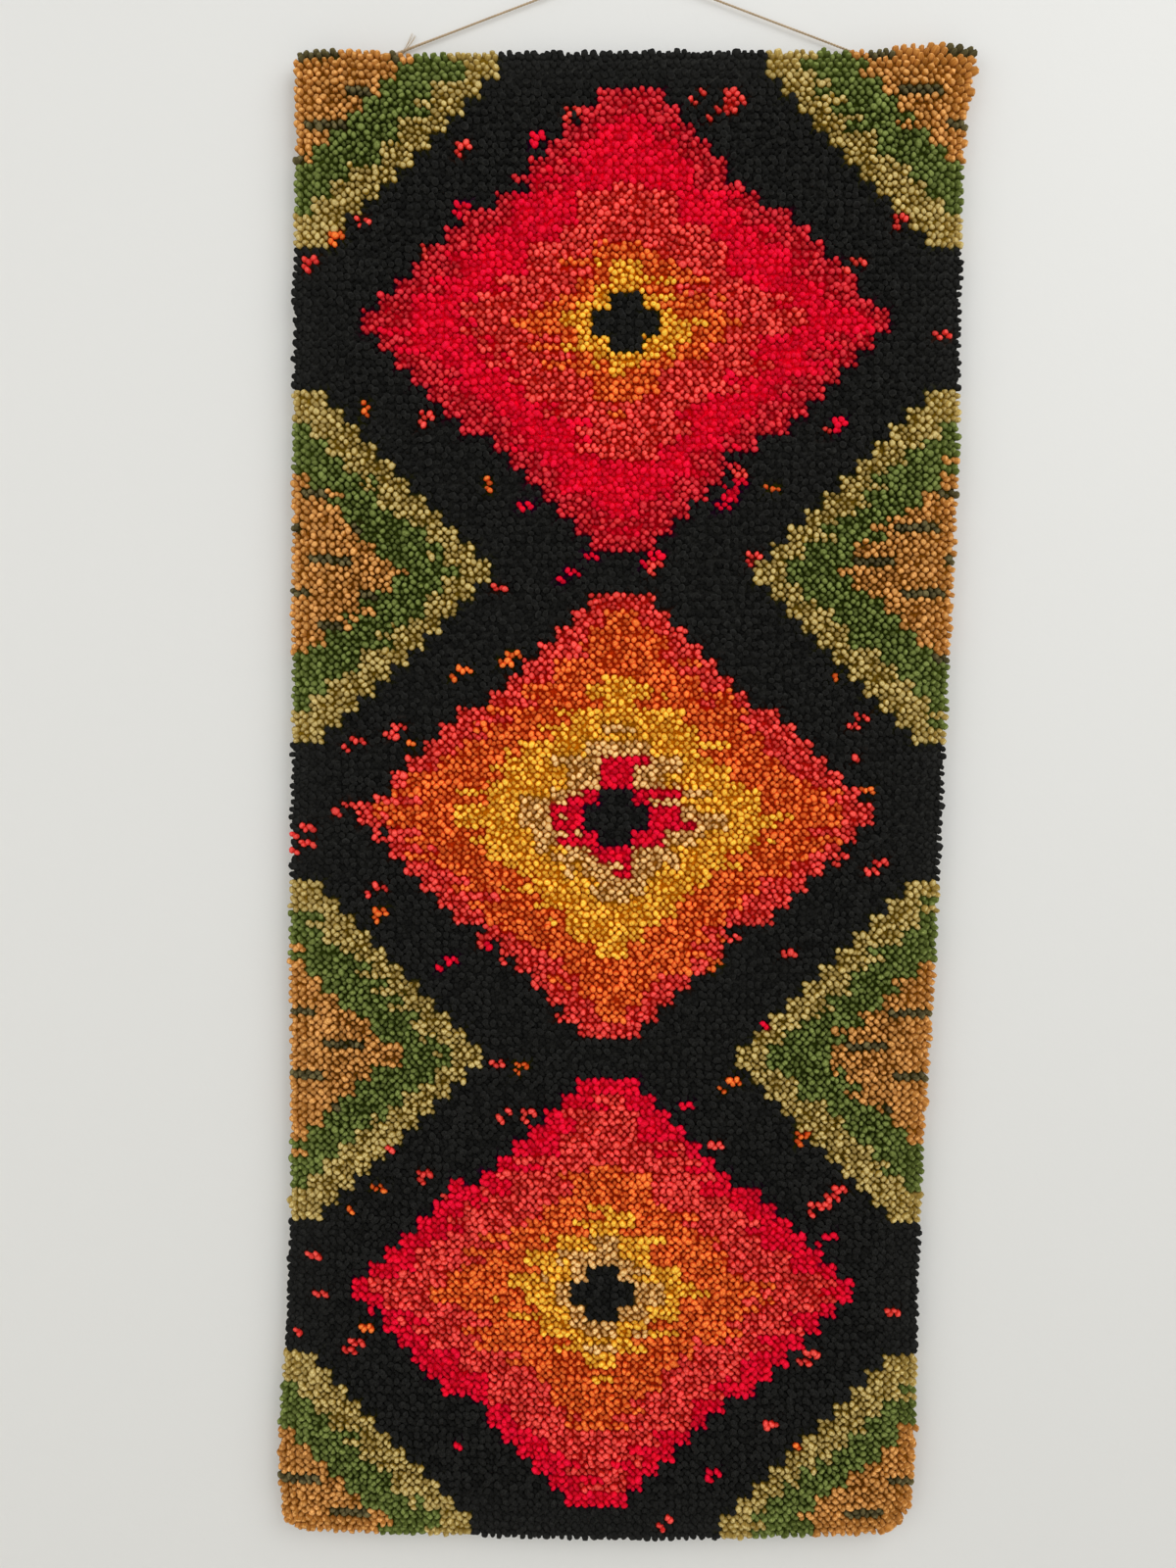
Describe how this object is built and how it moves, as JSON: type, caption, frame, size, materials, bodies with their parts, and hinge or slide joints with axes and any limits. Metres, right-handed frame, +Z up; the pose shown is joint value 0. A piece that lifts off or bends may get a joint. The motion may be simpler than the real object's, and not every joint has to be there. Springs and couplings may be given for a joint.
{
  "type": "fabric wall hanging",
  "caption": "Tall latch-hooked wool wall hanging: dense cut pile on rug canvas with a turned-back hem, hung by a length of twine knotted to its top edge.",
  "frame": {"origin": "the nail point: under the twine where it passes over the nail or hook that holds it", "axes": "+Z up along the hanging's height, -Y out of the pile's face, +Y out of the back towards the wall, +X to the right as seen from the front"},
  "size_m": [0.6395, 0.0211, 1.5015],
  "materials": {
    "canvas_cotton": "open woven cotton rug canvas, stiffened, matte",
    "wool_pile": "cut wool yarn ends in many shades, soft and matte with a faint sheen",
    "twine": "two-ply natural twine, hairy and matte"
  },
  "bodies": {
    "root": {"canvas": "canvas_cotton", "pile": "wool_pile", "hanging_twine": "twine", "twine_tail_left": "twine", "twine_knot_left": "twine", "twine_knot_right": "twine"}
  },
  "joints": []
}
